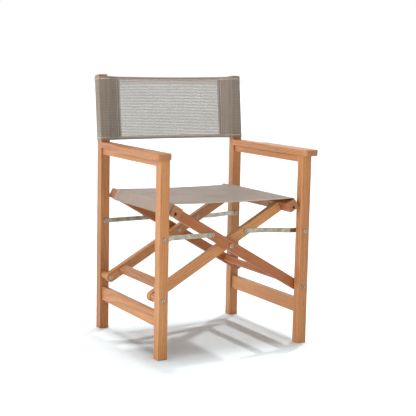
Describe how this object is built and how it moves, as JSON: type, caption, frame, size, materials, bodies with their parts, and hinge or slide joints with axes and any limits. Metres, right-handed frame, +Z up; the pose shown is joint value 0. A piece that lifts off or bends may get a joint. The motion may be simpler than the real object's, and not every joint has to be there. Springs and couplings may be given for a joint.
{
  "type": "director chair",
  "caption": "Folding wooden director chair with board arms, a crossing slat frame, flat metal braces and a mesh sling seat and back.",
  "frame": {"origin": "on the floor, under the centre of the chair's bounding box", "axes": "+Z up, +Y towards the back, so the sitter faces -Y; X across the chair, left legs at -X. Folding brings the two side frames together along X."},
  "size_m": [0.588, 0.5212, 0.8657],
  "materials": {
    "side_wood": "bare golden hardwood, lightly oiled",
    "frame_wood": "bare reddish hardwood, lightly oiled",
    "spacer_wood": "turned hardwood",
    "dowel_wood": "plain dowel",
    "sling_rod": "dark plastic rod",
    "brace_steel": "dull zinc plating",
    "fastener_steel": "dull zinc plating",
    "seat_sling": "taupe coated mesh",
    "back_sling": "taupe coated mesh"
  },
  "bodies": {
    "side_left": {"front_leg_left": "side_wood", "rear_leg_left": "side_wood", "arm_left": "side_wood", "arm_rail_left": "side_wood", "stretcher_left": "side_wood", "arm_dowels_left": "dowel_wood", "left_pivot_bolts": "fastener_steel", "left_pivot_nuts": "fastener_steel", "left_pivot_spacers": "spacer_wood", "left_brace_bolts": "fastener_steel", "left_brace_nuts": "fastener_steel", "back_sling": "back_sling"},
    "frame_b": {"slat_b_front": "frame_wood", "slat_b_rear": "frame_wood", "seat_rail_b": "frame_wood", "crossbar_b": "frame_wood", "sling_rod_b": "sling_rod", "sling_screws_b": "fastener_steel", "brace_studs_b": "fastener_steel"},
    "frame_a": {"slat_a_front": "frame_wood", "slat_a_rear": "frame_wood", "seat_rail_a": "frame_wood", "crossbar_a": "frame_wood", "sling_rod_a": "sling_rod", "sling_screws_a": "fastener_steel", "crossing_bolts": "fastener_steel", "crossing_nuts": "fastener_steel", "crossing_spacers": "spacer_wood", "brace_studs_a": "fastener_steel", "seat_sling": "seat_sling"},
    "side_right": {"front_leg_right": "side_wood", "rear_leg_right": "side_wood", "arm_right": "side_wood", "arm_rail_right": "side_wood", "stretcher_right": "side_wood", "arm_dowels_right": "dowel_wood", "right_pivot_bolts": "fastener_steel", "right_pivot_nuts": "fastener_steel", "right_pivot_washers": "fastener_steel", "right_brace_bolts": "fastener_steel", "right_brace_nuts": "fastener_steel"},
    "braces_left": {"brace_front_left": "brace_steel", "brace_rear_left": "brace_steel", "brace_rivets_left": "fastener_steel"},
    "braces_right": {"brace_front_right": "brace_steel", "brace_rear_right": "brace_steel", "brace_rivets_right": "fastener_steel"}
  },
  "joints": [
    {"name": "fold", "type": "hinge", "parent": "side_left", "child": "frame_b", "pos_m": [-0.2565, -0.0066, 0.187], "axis": [0, -1, 0], "range_deg": [0, 36.8], "deforming": ["back_sling"]},
    {"name": "crossing", "type": "hinge", "parent": "frame_b", "child": "frame_a", "pos_m": [0, -0.0066, 0.336], "axis": [0, -1, 0], "range_deg": [-80, 0], "deforming": ["seat_sling"]},
    {"name": "right_pivot", "type": "hinge", "parent": "frame_a", "child": "side_right", "pos_m": [0.2565, -0.0066, 0.187], "axis": [0, -1, 0], "range_deg": [0, 36.8]},
    {"name": "left_brace", "type": "hinge", "parent": "side_left", "child": "braces_left", "pos_m": [-0.2565, -0.0066, 0.374], "axis": [0, -1, 0], "range_deg": [0, 59.58]},
    {"name": "right_brace", "type": "hinge", "parent": "side_right", "child": "braces_right", "pos_m": [0.2565, -0.0066, 0.374], "axis": [0, -1, 0], "range_deg": [-59.58, 0]}
  ],
  "couplings": [
    {"joint": "crossing", "follows": "fold", "ratio": -2.1739},
    {"joint": "right_pivot", "follows": "fold", "ratio": 1},
    {"joint": "left_brace", "follows": "fold", "ratio": 1.619},
    {"joint": "right_brace", "follows": "fold", "ratio": -1.619}
  ]
}
